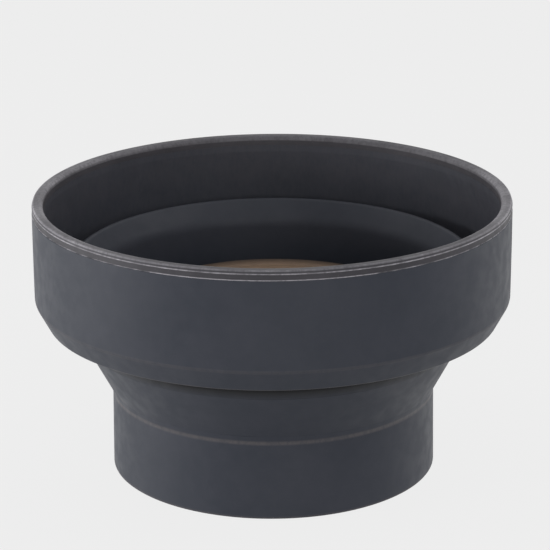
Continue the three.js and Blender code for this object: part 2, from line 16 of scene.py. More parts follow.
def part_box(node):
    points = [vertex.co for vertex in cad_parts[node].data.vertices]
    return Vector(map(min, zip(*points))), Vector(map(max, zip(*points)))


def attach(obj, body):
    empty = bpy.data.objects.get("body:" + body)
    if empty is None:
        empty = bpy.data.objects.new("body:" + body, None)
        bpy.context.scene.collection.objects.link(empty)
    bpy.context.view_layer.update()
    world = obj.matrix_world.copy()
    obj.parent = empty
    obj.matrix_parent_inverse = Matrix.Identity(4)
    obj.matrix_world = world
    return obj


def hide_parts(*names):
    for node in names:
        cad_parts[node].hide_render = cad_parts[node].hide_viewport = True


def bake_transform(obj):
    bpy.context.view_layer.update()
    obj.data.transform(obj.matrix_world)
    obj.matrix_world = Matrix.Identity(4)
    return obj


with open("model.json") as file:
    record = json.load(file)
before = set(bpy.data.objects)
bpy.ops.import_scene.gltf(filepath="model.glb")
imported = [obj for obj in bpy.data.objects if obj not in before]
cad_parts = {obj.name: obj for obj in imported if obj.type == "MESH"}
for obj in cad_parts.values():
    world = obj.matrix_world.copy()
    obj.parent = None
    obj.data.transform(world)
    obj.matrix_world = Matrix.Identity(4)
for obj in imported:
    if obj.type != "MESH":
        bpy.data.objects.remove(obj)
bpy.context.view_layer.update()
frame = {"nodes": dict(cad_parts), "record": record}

MM = 0.001
FINE = 240  # facets round the tub
SMALL = 64  # facets round screws, feet and the shaft's pieces
SHARP = math.radians(50)  # faces that meet at more than this keep a hard edge


# ---- sizes read from the frame ----
def low(node):
    """Lowest corner of a node's box, in mm."""
    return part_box(node)[0] / MM


def high(node):
    """Highest corner of a node's box, in mm."""
    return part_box(node)[1] / MM


def radius(node):
    """Outer radius in mm of a turned piece, from the middle of its box."""
    return (high(node).x - low(node).x) / 2


def middle(node):
    """Centre of a node's box, in mm."""
    return (low(node) + high(node)) / 2


PROUD = 0.3  # how far the fine skin of the rim and band stands outside its solid, in mm
RIM_TOP = high("rim_ring").z
RIM_BOTTOM = low("rim_ring").z
RIM_OUTER = radius("rim_ring") + PROUD
BAND_OUTER = radius("upper_wall") + PROUD
RIM_THICK = 7.1  # the rim, measured across the radius
LIP_BOTTOM = low("upper_lip").z
CREST_TOP = high("middle_wall").z
CREST_OUTER = radius("middle_wall")
CONE_TOP = high("lower_fold").z
CONE_BOTTOM = low("lower_fold").z
CONE_OUTER = radius("lower_fold")
BASE_TOP = high("base_sleeve").z
BASE_LOW = low("base_sleeve").z
BASE_FOOT = radius("base_sleeve")
PULSATOR_R = radius("pulsator")
TAPER = math.tan(math.radians(28))  # every sloping face of the tub leans this far out
SKIN = 3.4  # the fold walls, measured across the radius


# ---- meshes ----
def rounded(corners, closed=True, steps=5, reach=4.0, hold=0.4):
    """A smooth section from corners (r, z, fillet, paint), as points (r, z, paint); paint holds
    scuffing together with painted light and shade.

    Each fillet becomes an arc. Long straight stretches get a point close to each end, which
    keeps their shading flat, and further points no more than reach apart.
    """
    arcs = []
    count = len(corners)
    for i, (r, z, fillet, wear_and_painted_light) in enumerate(corners):
        here = Vector((r, z))
        inner = closed or 0 < i < count - 1
        if not fillet or not inner:
            arcs.append([(r, z, wear_and_painted_light)])
            continue
        before = (Vector(corners[i - 1][:2]) - here).normalized()
        after = (Vector(corners[(i + 1) % count][:2]) - here).normalized()
        half = before.angle(after) / 2
        centre = here + (before + after).normalized() * (fillet / math.sin(half))
        start = here + before * (fillet / math.tan(half)) - centre
        end = here + after * (fillet / math.tan(half)) - centre
        sweep = start.angle_signed(end)
        arc = []
        for k in range(steps + 1):
            spoke = Matrix.Rotation(-sweep * k / steps, 2) @ start
            arc.append((*(centre + spoke), wear_and_painted_light))
        arcs.append(arc)
    points = []
    for i, arc in enumerate(arcs):
        points += arc
        if not closed and i == count - 1:
            break
        a, b = Vector(arc[-1][:2]), Vector(arcs[(i + 1) % count][0][:2])
        length = (b - a).length
        if length < 3 * hold:
            continue
        parts = max(1, round(length / reach))
        shares = [hold / length, *(k / parts for k in range(1, parts)), 1 - hold / length]
        points += [(*a.lerp(b, s), 0.0) for s in shares]
    return points


def spin(name, points, facets=FINE, shape=None):
    """Turns a section of (r, z, paint) points in mm round Z into a closed, smooth mesh object; paint
    is the scuffing and painted light and shade kept at each point.

    A section that starts and ends on the axis closes there, and any other closes on itself.
    shape(angle, r, z, paint) may move each point and change its paint.
    """
    on_axis = points[0][0] == 0 and points[-1][0] == 0
    mesh = bpy.data.meshes.new(name)
    build = bmesh.new()
    layer = build.verts.layers.float.new("wear_and_painted_light")
    rings = []
    for i in range(facets):
        angle = 2 * math.pi * i / facets
        ring = []
        for r, z, wear_and_painted_light in points:
            if shape and r:
                r, z, wear_and_painted_light = shape(angle, r, z, wear_and_painted_light)
            vertex = build.verts.new((r * math.cos(angle) * MM, r * math.sin(angle) * MM, z * MM))
            vertex[layer] = wear_and_painted_light
            ring.append(vertex)
        rings.append(ring)
    last = len(points) - 1 if on_axis else len(points)
    for i, ring in enumerate(rings):
        other = rings[(i + 1) % facets]
        for k in range(last):
            n = (k + 1) % len(points)
            build.faces.new((ring[k], other[k], other[n], ring[n]))
    if on_axis:
        bmesh.ops.remove_doubles(build, verts=build.verts, dist=1e-7)
    bmesh.ops.recalc_face_normals(build, faces=build.faces)
    for face in build.faces:
        face.smooth = True
    build.to_mesh(mesh)
    build.free()
    mesh.set_sharp_from_angle(angle=SHARP)
    piece = bpy.data.objects.new(name, mesh)
    bpy.context.scene.collection.objects.link(piece)
    return piece


def turned(name, corners, facets=FINE, shape=None, **sections):
    """Rounds a section's corners and turns it; sections holds settings for rounded()."""
    on_axis = corners[0][0] == 0 and corners[-1][0] == 0
    return spin(name, rounded(corners, closed=not on_axis, **sections), facets, shape)


def finish_piece(piece, body, material, slot, *nodes):
    """Paints a piece, fixes it to a body and hides the CAD nodes it stands for."""
    piece.data.materials.clear()
    piece.data.materials.append(material)
    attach(piece, body)
    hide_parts(*nodes)
    return piece


def waves(angle, z, size, depth):
    """A slow unevenness of a moulded wall, in mm, at a place round and up the tub."""
    place = Vector((math.cos(angle) * 150, math.sin(angle) * 150, z)) / size
    return depth * noise.noise(place)


# ---- materials ----
RANGE_SOCKETS = ("From Min", "From Max", "To Min", "To Max")


class Recipe:
    """A material's node tree, built link by link."""

    def __init__(self, name, roughness=0.6, metallic=0.0, specular=0.5):
        self.material = bpy.data.materials.new(name)
        self.material.use_nodes = True
        self.tree = self.material.node_tree
        self.tree.nodes.clear()
        self.shader = self.add("ShaderNodeBsdfPrincipled")
        output = self.add("ShaderNodeOutputMaterial")
        self.tree.links.new(self.shader.outputs[0], output.inputs[0])
        self.place = self.add("ShaderNodeTexCoord").outputs["Object"]
        self.shader.inputs["Roughness"].default_value = roughness
        self.shader.inputs["Metallic"].default_value = metallic
        self.shader.inputs["Specular IOR Level"].default_value = specular

    def add(self, kind):
        """A new node of a kind in this material."""
        return self.tree.nodes.new(kind)

    def link(self, source, target):
        self.tree.links.new(source, target)

    def noise(self, size, detail=3.0, rough=0.5, stretch=(1, 1, 1)):
        """Noise whose blotches are about size mm across, squeezed along the axes by stretch."""
        scaled = self.add("ShaderNodeMapping")
        scaled.inputs["Scale"].default_value = stretch
        self.link(self.place, scaled.inputs["Vector"])
        texture = self.add("ShaderNodeTexNoise")
        texture.inputs["Scale"].default_value = 1 / (size * MM)
        texture.inputs["Detail"].default_value = detail
        texture.inputs["Roughness"].default_value = rough
        self.link(scaled.outputs["Vector"], texture.inputs["Vector"])
        return texture.outputs["Fac"]

    def spread(self, value, start, end, bottom=0.0, top=1.0):
        """Maps start..end to bottom..top, smoothly and clamped."""
        node = self.add("ShaderNodeMapRange")
        node.interpolation_type = "SMOOTHSTEP"
        for socket, number in zip(RANGE_SOCKETS, (start, end, bottom, top)):
            node.inputs[socket].default_value = number
        self.link(value, node.inputs["Value"])
        return node.outputs["Result"]

    def maths(self, operation, a, b):
        """Combines two values, each a number or a socket."""
        node = self.add("ShaderNodeMath")
        node.operation = operation
        for socket, value in zip(node.inputs, (a, b)):
            if isinstance(value, (int, float)):
                socket.default_value = value
            else:
                self.link(value, socket)
        return node.outputs[0]

    def mix(self, share, a, b, blend="MIX"):
        """Mixes two colours, each an (r, g, b) or a socket."""
        node = self.add("ShaderNodeMix")
        node.data_type = "RGBA"
        node.blend_type = blend
        sockets = (node.inputs["Factor"], node.inputs[6], node.inputs[7])
        for socket, value in zip(sockets, (share, a, b)):
            if isinstance(value, (int, float)):
                socket.default_value = value
            elif isinstance(value, tuple):
                socket.default_value = (*value, 1)
            else:
                self.link(value, socket)
        return node.outputs[2]

    def stored_value(self, name="wear_and_painted_light"):
        """The value that the mesh stores under a name at each point."""
        node = self.add("ShaderNodeAttribute")
        node.attribute_name = name
        return node.outputs["Fac"]

    def colour(self, source):
        """Sets the surface colour from an (r, g, b) or a socket."""
        if isinstance(source, tuple):
            self.shader.inputs["Base Color"].default_value = (*source, 1)
        else:
            self.link(source, self.shader.inputs["Base Color"])

    def roughness(self, source):
        """Sets the surface roughness from a socket."""
        self.link(source, self.shader.inputs["Roughness"])

    def bump(self, *layers):
        """Adds layers of (height, depth in mm), each on top of the last."""
        normal = None
        for height, depth in layers:
            node = self.add("ShaderNodeBump")
            node.inputs["Strength"].default_value = 1.0
            node.inputs["Distance"].default_value = depth * MM
            self.link(height, node.inputs["Height"])
            if normal:
                self.link(normal, node.inputs["Normal"])
            normal = node.outputs["Normal"]
        self.link(normal, self.shader.inputs["Normal"])


# painted shade: the near-black colour laid on where the lip's shadow falls
PAINTED_SHADE_COLOUR = (0.012, 0.012, 0.013)


def elastomer(name, dark, pale, scuff_and_painted_light, chalk=0.0):
    """Matte moulded elastomer: cloudy, finely pitted, and scuffed pale where the stored value says
    so; that value also carries painted highlights and painted light, and a second stored value
    darkens it with painted shade.
    """
    recipe = Recipe(name, specular=0.34)
    clouds = recipe.spread(recipe.noise(36, 4, 0.6), 0.32, 0.68)
    blotches = recipe.spread(recipe.noise(7, 3, 0.55), 0.35, 0.7)
    broad = recipe.maths("MULTIPLY", clouds, 0.65)
    close = recipe.maths("MULTIPLY", blotches, 0.35)
    shade = recipe.maths("ADD", broad, close)
    body = recipe.mix(shade, dark, pale)
    dust = recipe.spread(recipe.noise(1.1, 2, 0.6), 0.62, 0.78, 0.0, 0.05 + chalk)
    speckled = recipe.mix(dust, body, scuff_and_painted_light)
    broken = recipe.spread(recipe.noise(2.6, 4, 0.7, (1, 1, 0.4)), 0.3, 0.62, 0.45, 1.0)
    # scuffs, painted highlights and painted light all pale the skin through this mix
    share = recipe.maths("MULTIPLY", recipe.stored_value(), broken)
    scuffed_and_painted_light = recipe.mix(share, speckled, scuff_and_painted_light)
    # painted shade: a second stored value darkens the skin in the recess under the lip
    recipe.colour(recipe.mix(recipe.stored_value("painted_shade"), scuffed_and_painted_light, PAINTED_SHADE_COLOUR))
    recipe.roughness(recipe.spread(recipe.noise(9, 3), 0.3, 0.7, 0.5, 0.62))
    recipe.bump((recipe.noise(16, 2), 0.1), (recipe.noise(1.0, 2, 0.5), 0.02))
    return recipe.material


def moulded(name, colour, roughness=0.5, grain=0.6, specular=0.5):
    """Moulded plastic with a fine spark-eroded grain and a little colour drift."""
    recipe = Recipe(name, specular=specular)
    drift = recipe.spread(recipe.noise(18, 3), 0.3, 0.7)
    darker = tuple(c * 0.86 for c in colour)
    recipe.colour(recipe.mix(drift, darker, colour))
    recipe.roughness(recipe.spread(recipe.noise(5, 3), 0.3, 0.7, roughness - 0.05, roughness + 0.06))
    recipe.bump((recipe.noise(grain, 2), 0.02))
    return recipe.material


def brown_disc(name, colour, edge):
    """Satin brown plastic with a fine grain, which painted shade turns to the edge colour where the
    wall's shadow lies on it.
    """
    recipe = Recipe(name, specular=0.35)
    drift = recipe.spread(recipe.noise(13, 3, 0.6), 0.3, 0.7)
    darker = tuple(c * 0.85 for c in colour)
    body = recipe.mix(drift, darker, colour)
    # painted shade: the stored value darkens the disc's outer edge
    recipe.colour(recipe.mix(recipe.stored_value(), body, edge))
    recipe.roughness(recipe.spread(recipe.noise(4, 3), 0.3, 0.7, 0.42, 0.55))
    recipe.bump((recipe.noise(0.9, 2), 0.015))
    return recipe.material


def brushed(name, colour, roughness=0.32, stretch=(1, 1, 14)):
    """Turned or brushed metal, with its fine lines across the squeezed axis."""
    recipe = Recipe(name, metallic=1.0)
    lines = recipe.spread(recipe.noise(1.2, 2, 0.6, stretch), 0.35, 0.65)
    darker = tuple(c * 0.8 for c in colour)
    recipe.colour(recipe.mix(lines, darker, colour))
    recipe.roughness(recipe.spread(recipe.noise(3, 3), 0.3, 0.7, roughness - 0.06, roughness + 0.08))
    recipe.bump((lines, 0.004))
    return recipe.material


# pale colours for scuffs, which also carry painted highlights and painted light
TUB_SCUFF_AND_PAINTED_LIGHT = (0.16, 0.14, 0.135)
RIM_SCUFF_AND_PAINTED_HIGHLIGHT = (0.44, 0.425, 0.46)
TUB = elastomer("tub_elastomer", (0.037, 0.042, 0.056), (0.046, 0.050, 0.065), TUB_SCUFF_AND_PAINTED_LIGHT)
RIM = elastomer("rim_elastomer", (0.048, 0.046, 0.053), (0.064, 0.061, 0.070), RIM_SCUFF_AND_PAINTED_HIGHLIGHT, chalk=0.03)
SEAL = elastomer("seal_rubber", (0.016, 0.016, 0.017), (0.022, 0.022, 0.023), (0.06, 0.06, 0.06))
DARK = moulded("dark_plastic", (0.032, 0.034, 0.038), 0.5)
# the second colour is the painted shade for the disc's outer edge
PULSATOR = brown_disc("pulsator_plastic", (0.3, 0.2, 0.132), (0.03, 0.024, 0.021))
WHITE = moulded("white_plastic", (0.68, 0.68, 0.65), 0.45)
BOARD = moulded("circuit_board", (0.014, 0.07, 0.037), 0.35, 2.5)
WRAP = moulded("cell_wrap", (0.05, 0.16, 0.27), 0.3, 3.0)
LEAD = moulded("lead_insulation", (0.27, 0.03, 0.02), 0.4, 1.5)
LIGHT = moulded("light_guide", (0.78, 0.78, 0.74), 0.2, 4.0)
STEEL = brushed("steel", (0.55, 0.56, 0.57))
PAINT = {
    "tub_elastomer": TUB,
    "rim_elastomer": RIM,
    "seal_rubber": SEAL,
    "dark_plastic": DARK,
    "pulsator_plastic": PULSATOR,
    "white_plastic": WHITE,
    "circuit_board": BOARD,
    "cell_wrap": WRAP,
    "lead_insulation": LEAD,
    "light_guide": LIGHT,
    "steel": STEEL,
}


# ---- the upper stage ----
SEAM = RIM_BOTTOM - 0.6  # where the rim's moulding meets the wall
FLASH = 1.0  # wear values that mark the moulding line and the ridge above it
RIDGE = 0.9
FLASH_WEAR = 1.25  # how pale the moulding line is where it stands full
TOP_DEPTH = 1.2  # the rim's top face and its edges lie within this of its highest point
TOP_WEAR = 0.06  # how worn the top is all round
SIDE_HIGHLIGHT = 0.36  # painted highlight: how much paler the top is painted at its far left and right, where the side lights catch it
LEFT_FALL, RIGHT_FALL = 3, 10  # powers: how fast that fades away from the left and the right
CLEAN_FROM, CLEAN_TO = -118.0, -66.0  # the clean stretch of the moulding line, degrees round Z


def flash_strength(angle):
    """How proud the moulding line stands: clean along one stretch at the front, ragged elsewhere."""
    degrees = math.degrees(angle)
    degrees -= 360 if degrees > 180 else 0
    ragged = 0.4 + 0.7 * noise.noise(Vector((degrees / 2.1, 3.7, 0)))
    ragged += 0.5 * noise.noise(Vector((degrees / 0.7, 6.1, 0)))
    if CLEAN_FROM < degrees < CLEAN_TO:
        return 0.95 + 0.25 * noise.noise(Vector((degrees / 1.3, 0.4, 0)))
    return max(0.0, min(0.75, ragged))


def ridge_strength(angle):
    """How worn the ridge is, in stretches of a few centimetres."""
    degrees = math.degrees(angle)
    broad = noise.noise(Vector((degrees / 9, 8.2, 0)))
    fine = noise.noise(Vector((degrees / 0.9, 2.6, 0)))
    return max(0.2, min(1.3, 0.8 + 0.6 * broad + 0.45 * fine))


def add_rim():
    """The rim: a crowned top, a fine ridge round its outer face, and the moulding line below."""
    inner = RIM_OUTER - RIM_THICK
    outer = RIM_OUTER
    top = RIM_TOP
    corners = [
        (inner, SEAM, 0, 0),
        (outer - 0.6, SEAM, 0, 0),
        (outer + 0.1, SEAM + 0.1, 0.1, FLASH),
        (outer - 0.35, SEAM + 0.7, 0.15, 0),
        (outer - 0.3, SEAM + 3.4, 0.15, 0),
        (outer, SEAM + 4.0, 0.15, RIDGE),
        (outer - 0.4, SEAM + 4.6, 0.15, 0),
        # the paler top edges are partly scuffing and partly a painted highlight where the back light
        # catches their rounding
        (outer - 0.45, top, 0.75, 0.33),
        (inner, top, 2.9, 0.16),
        (inner, SEAM + 2.5, 0, 0),
    ]

    def shape(angle, r, z, wear_and_painted_light):
        if wear_and_painted_light == FLASH:
            strength = flash_strength(angle)
            return r + 0.3 * strength, z, FLASH_WEAR * strength
        if wear_and_painted_light == RIDGE:
            strength = ridge_strength(angle)
            return r + 0.15 * strength, z, strength
        r += waves(angle, z, 60, 0.1)
        if z > top - TOP_DEPTH:
            # painted highlight: towards the far left and right the top is painted paler, as the side
            # lights would light it
            side = math.cos(angle)
            fall = LEFT_FALL if side < 0 else RIGHT_FALL
            wear_and_painted_light = max(wear_and_painted_light, TOP_WEAR) + SIDE_HIGHLIGHT * abs(side) ** fall
        return r, z, wear_and_painted_light * (1.0 + 0.5 * noise.noise(Vector((angle * 7, z / 3, 1.5))))

    rim = turned("rim", corners, facets=480, shape=shape, reach=1.6, hold=0.2)
    finish_piece(rim, "upper_stage", RIM, "rim_elastomer", "rim_ring")


INSIDE_PAINTED_LIGHT = 0.12  # painted light: the inside of the upper wall is painted a little paler all over, in place of fill light in the bowl


def add_upper_shell():
    """The upper stage's wall, from under the rim down to the lip."""
    band_inner = BAND_OUTER - 4.5
    rim_inner = RIM_OUTER - RIM_THICK
    band_bottom = high("upper_lip").z
    lip_outer = BAND_OUTER - (band_bottom - LIP_BOTTOM) * TAPER
    lip_inner = radius("upper_fold") - 0.6
    corners = [
        (BAND_OUTER, band_bottom, 4.0, 0.16),
        (BAND_OUTER, SEAM - 0.05, 0.4, 0),
        (rim_inner, SEAM - 0.05, 0, 0),
        (rim_inner, RIM_BOTTOM - 5, 4, 0),
        (band_inner, band_bottom + 12, 6, 0),
        (band_inner, band_bottom, 2, 0),
        (lip_inner, band_bottom - (band_inner - lip_inner) / TAPER, 1, 0),
        (lip_inner, LIP_BOTTOM, 1.2, 0),
        # the pale lower edge of the lip is partly scuffing and partly a painted highlight
        (lip_outer, LIP_BOTTOM, 0.8, 0.35),
    ]

    def shape(angle, r, z, wear_and_painted_light):
        # painted light: the inner face above the lip gets the paler paint
        inside = r < band_inner + 1 and z > LIP_BOTTOM + 8
        return r + waves(angle, z, 55, 0.22), z, max(wear_and_painted_light, INSIDE_PAINTED_LIGHT * inside)

    shell = turned("upper_shell", corners, shape=shape)
    finish_piece(shell, "upper_stage", TUB, "tub_elastomer", "upper_wall", "upper_lip")


# ---- the middle stage ----
RECESS = LIP_BOTTOM - 8  # height of the strip under the lip where painted shade stands for the lip's shadow


def paint_shade(piece, amount):
    """Stores how much painted shade darkens each point of a turned piece, from its radius and height
    in mm.
    """
    layer = piece.data.attributes.new("painted_shade", "FLOAT", "POINT")
    for i, vertex in enumerate(piece.data.vertices):
        x, y, z = vertex.co / MM
        layer.data[i].value = float(amount(math.hypot(x, y), z))


def add_middle_shell():
    """The stiff middle ring: a sloping crest inside, a straight throat, and the cone's top."""
    throat = CREST_OUTER - 9.9
    outer = CREST_OUTER - 2.6
    cone_top = CONE_TOP + 0.2
    slope_end = cone_top + (outer - CONE_OUTER) / TAPER
    ring_low, ring_high = low("middle_hoop").z - 0.3, high("middle_hoop").z + 0.3
    corners = [
        (CONE_OUTER + 0.1, cone_top, 0, 0),
        (outer, slope_end, 6, 0),
        (outer, ring_low, 0.3, 0),
        (outer - 2.3, ring_low, 0.2, 0),
        (outer - 2.3, ring_high, 0.2, 0),
        (outer, ring_high, 0.3, 0),
        (outer, CREST_TOP - 7.5, 4, 0),
        (CREST_OUTER, CREST_TOP - 2.2, 1, 0),
        (CREST_OUTER, CREST_TOP, 1.1, 0.04),
        (CREST_OUTER - 2.4, CREST_TOP, 2.0, 0.04),
        (throat, CREST_TOP - (CREST_OUTER - 2.4 - throat) / TAPER, 15, 0),
        (throat, CONE_TOP + 5, 4, 0),
        (CONE_OUTER - SKIN, cone_top, 0, 0),
    ]

    def shape(angle, r, z, wear_and_painted_light):
        return r + waves(angle, z + 90, 50, 0.18), z, wear_and_painted_light

    shell = turned("middle_shell", corners, shape=shape)
    # painted shade: the strip under the lip is darkened to stand for the lip's shadow
    paint_shade(shell, lambda r, z: r > throat + 3 and math.exp(-(((z - RECESS) / 5.5) ** 2)) * 0.95)
    finish_piece(shell, "middle_stage", TUB, "tub_elastomer", "middle_wall")
    band = [
        (outer - 2.1, ring_low + 0.3, 0.2, 0),
        (outer + 0.1, ring_low + 0.3, 0.6, 0),
        (outer + 0.1, ring_high - 0.3, 0.6, 0),
        (outer - 2.1, ring_high - 0.3, 0.2, 0),
    ]
    hoop = turned("stiffening_hoop", band)
    finish_piece(hoop, "middle_stage", DARK, "dark_plastic", "middle_hoop")


# ---- the two fold walls ----
def bend_piece(piece, bodies, start, end, *nodes):
    """Paints a fold wall, bakes its placement into its mesh and hides the CAD nodes it stands for;
    bodies, start and end are not used.
    """
    piece.data.materials.append(TUB)
    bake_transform(piece)
    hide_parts(*nodes)


def add_upper_fold():
    """The thin wall that hangs from the crest's outer side down to the lip."""
    top, bottom = high("upper_fold").z, low("upper_fold").z
    outer = radius("upper_fold")
    inner = CREST_OUTER - 1.5
    corners = [
        (inner, top - 1.6, 0.8, 0),
        (inner + 1.7, top - 0.2, 1.2, 0),
        (inner + 4.0, top - 1.2, 1.0, 0),
        (outer, bottom + 2.4, 0.8, 0),
        (outer - 2.2, bottom + 0.2, 0.8, 0),
    ]
    fold = turned("upper_fold_skin", corners, reach=1.6)
    bend_piece(fold, ("middle_stage", "upper_stage"), top, bottom, "upper_fold")


def add_lower_fold():
    """The cone under the middle stage, which rolls inside out when the tub is pushed down."""
    bottom_outer = CONE_OUTER - (CONE_TOP - CONE_BOTTOM) * TAPER
    corners = [
        (bottom_outer, CONE_BOTTOM - 0.1, 0, 0.16),
        (CONE_OUTER, CONE_TOP + 0.1, 0, 0),
        (CONE_OUTER - SKIN, CONE_TOP + 0.1, 0, 0),
        (bottom_outer - SKIN, CONE_BOTTOM - 0.1, 0, 0),
    ]
    fold = turned("lower_fold_skin", corners, reach=1.2)
    bend_piece(fold, ("base", "middle_stage"), CONE_BOTTOM, CONE_TOP, "lower_fold")


# ---- the base ----
RING_INNER = 91.5
RING_BOTTOM = low("sleeve_clamp_ring").z
COVER_BOTTOM = low("bottom_cover").z
PULSATOR_TOP = high("pulsator").z - 4.0
WALL_NEAR, WALL_FAR = BASE_FOOT - 12, BASE_FOOT + 4


def lay_along_y(piece, x, z):
    """Turns a piece made round Z so that it lies along +Y, at x and z in mm."""
    turn = Matrix.Rotation(math.radians(-90), 4, "X")
    piece.data.transform(Matrix.Translation((x * MM, 0, z * MM)) @ turn)


def upright(name, r, bottom, top, x=0.0, y=0.0, facets=SMALL):
    """A plain cylinder standing at x and y, for cutting with."""
    piece = spin(name, [(0, bottom, 0), (r, bottom, 0), (r, top, 0), (0, top, 0)], facets)
    piece.data.transform(Matrix.Translation((x * MM, y * MM, 0)))
    return piece


def rod(name, r, near, far, x, z):
    """A plain cylinder lying along Y, for cutting with."""
    piece = upright(name, r, near, far)
    lay_along_y(piece, x, z)
    return piece


def slot_bar(name, wide, tall, near, far, x, z):
    """A round-ended bar lying along Y, with softened ends."""
    r = tall / 2
    mesh = bpy.data.meshes.new(name)
    build = bmesh.new()
    outline = []
    for side, start in ((1, -90), (-1, 90)):
        for k in range(17):
            angle = math.radians(start + 180 * k / 16)
            outline.append((side * (wide / 2 - r) + r * math.cos(angle), r * math.sin(angle)))
    soft = min(0.3, r / 4)
    rings = []
    for y, shrink in ((near, soft), (near + soft, 0), (far - soft, 0), (far, soft)):
        scale = 1 - shrink / r
        ring = [
            build.verts.new(((x + px * scale) * MM, y * MM, (z + pz * scale) * MM))
            for px, pz in outline
        ]
        rings.append(ring)
    count = len(outline)
    for a, b in zip(rings, rings[1:]):
        for i in range(count):
            build.faces.new((a[i], a[(i + 1) % count], b[(i + 1) % count], b[i]))
    build.faces.new(rings[0])
    build.faces.new(rings[-1])
    bmesh.ops.recalc_face_normals(build, faces=build.faces)
    build.to_mesh(mesh)
    build.free()
    piece = bpy.data.objects.new(name, mesh)
    bpy.context.scene.collection.objects.link(piece)
    return piece


def cut(piece, *cutters):
    """Cuts each closed cutter out of a piece and removes the cutter."""
    for cutter in cutters:
        step = piece.modifiers.new("cut", "BOOLEAN")
        step.operation = "DIFFERENCE"
        step.solver = "EXACT"
        step.object = cutter
    bpy.context.view_layer.update()
    ready = piece.evaluated_get(bpy.context.evaluated_depsgraph_get())
    mesh = bpy.data.meshes.new_from_object(ready)
    piece.modifiers.clear()
    piece.data = mesh
    mesh.set_sharp_from_angle(angle=SHARP)
    for cutter in cutters:
        bpy.data.objects.remove(cutter)


def add_base_skin():
    """The elastomer sleeve round the base: it runs a little way up the cone, over the fold wall."""
    top_outer = BASE_FOOT - 0.6
    cone_foot = CONE_OUTER - (CONE_TOP - CONE_BOTTOM) * TAPER
    overlap = 3.5
    flange_inner = RING_INNER + 1.0
    inner = BASE_FOOT - 2.9
    corners = [
        (top_outer, BASE_TOP - 0.8, 4.5, 0.42),
        (cone_foot + 0.06 + overlap * TAPER, CONE_BOTTOM + overlap, 0, 0),
        (cone_foot - SKIN, CONE_BOTTOM - 0.4, 0, 0),
        (cone_foot - SKIN, RING_BOTTOM - 0.3, 0.4, 0),
        (flange_inner, RING_BOTTOM - 0.3, 0.4, 0),
        (flange_inner, RING_BOTTOM - 3, 0.2, 0),
        (inner, RING_BOTTOM - 3, 0.2, 0),
        (inner, COVER_BOTTOM - 0.3, 0.2, 0),
        (inner - 3.8, COVER_BOTTOM - 0.3, 0.4, 0),
        (inner - 3.8, BASE_LOW, 0.5, 0),
        # painted highlight: the bottom edge is painted pale where the floor's light would catch it
        (BASE_FOOT + 0.1, BASE_LOW - 0.2, 0.6, 0.35),
    ]

    def shape(angle, r, z, wear_and_painted_light):
        return r + waves(angle, z + 300, 45, 0.12), z, wear_and_painted_light

    skin = turned("base_skin", corners, shape=shape, hold=1.2)
    bezel, port = middle("button_bezel"), middle("charge_socket")
    light = middle("status_light")
    cut(
        skin,
        rod("bezel_hole", radius("button_bezel") + 0.3, WALL_NEAR, WALL_FAR, bezel.x, bezel.z),
        rod("light_hole", radius("status_light") + 0.3, WALL_NEAR, WALL_FAR, light.x, light.z),
        slot_bar("port_hole", 12.6, 7.0, WALL_NEAR, WALL_FAR, port.x, port.z),
    )
    finish_piece(skin, "base", TUB, "tub_elastomer", "base_sleeve")


def add_clamp_ring():
    """The ring that holds the sleeve's flange and the tower down, with its four screws."""
    inner, outer = RING_INNER, radius("sleeve_clamp_ring")
    low_z, top = RING_BOTTOM, high("sleeve_clamp_ring").z
    corners = [
        (inner, low_z, 0.3, 0),
        (outer, low_z, 0.3, 0),
        (outer, top - 0.8, 0.5, 0),
        (outer - 1, top, 0.5, 0),
        (inner, top, 0.5, 0),
    ]
    ring = turned("clamp_ring", corners)
    screws = [middle(f"clamp_screw_{i}") for i in range(1, 5)]
    cut(ring, *(upright("screw_well", 2.9, top - 1.6, top + 1, at.x, at.y) for at in screws))
    finish_piece(ring, "base", DARK, "dark_plastic", "sleeve_clamp_ring")
    for i in range(1, 5):
        add_screw(f"clamp_screw_{i}", top - 1.4, top - 0.1)


def add_screw(node, head_low, head_top):
    """A pan-headed screw with a hexagon socket. Its head may be at either end."""
    at = middle(node)
    head_r = radius(node)
    shank_r = head_r * 0.5
    tip = low(node).z if head_top > at.z else high(node).z
    crown = 0.35 if head_top > at.z else -0.35
    corners = [
        (0, tip, 0, 0),
        (shank_r, tip, 0.2, 0),
        (shank_r, head_low, 0, 0),
        (head_r, head_low, 0.15, 0),
        (head_r - 0.2, head_top - crown, 0.3, 0.3),
        (head_r * 0.6, head_top, 0.3, 0),
        (0, head_top, 0, 0),
    ]
    screw = turned(node + "_fine", corners, facets=SMALL // 2)
    ends = sorted((head_top + crown, head_top - 3 * crown))
    cut(screw, upright("socket", head_r * 0.48, *ends, facets=6))
    screw.data.transform(Matrix.Translation((at.x * MM, at.y * MM, 0)))
    finish_piece(screw, "base", STEEL, "steel", node)


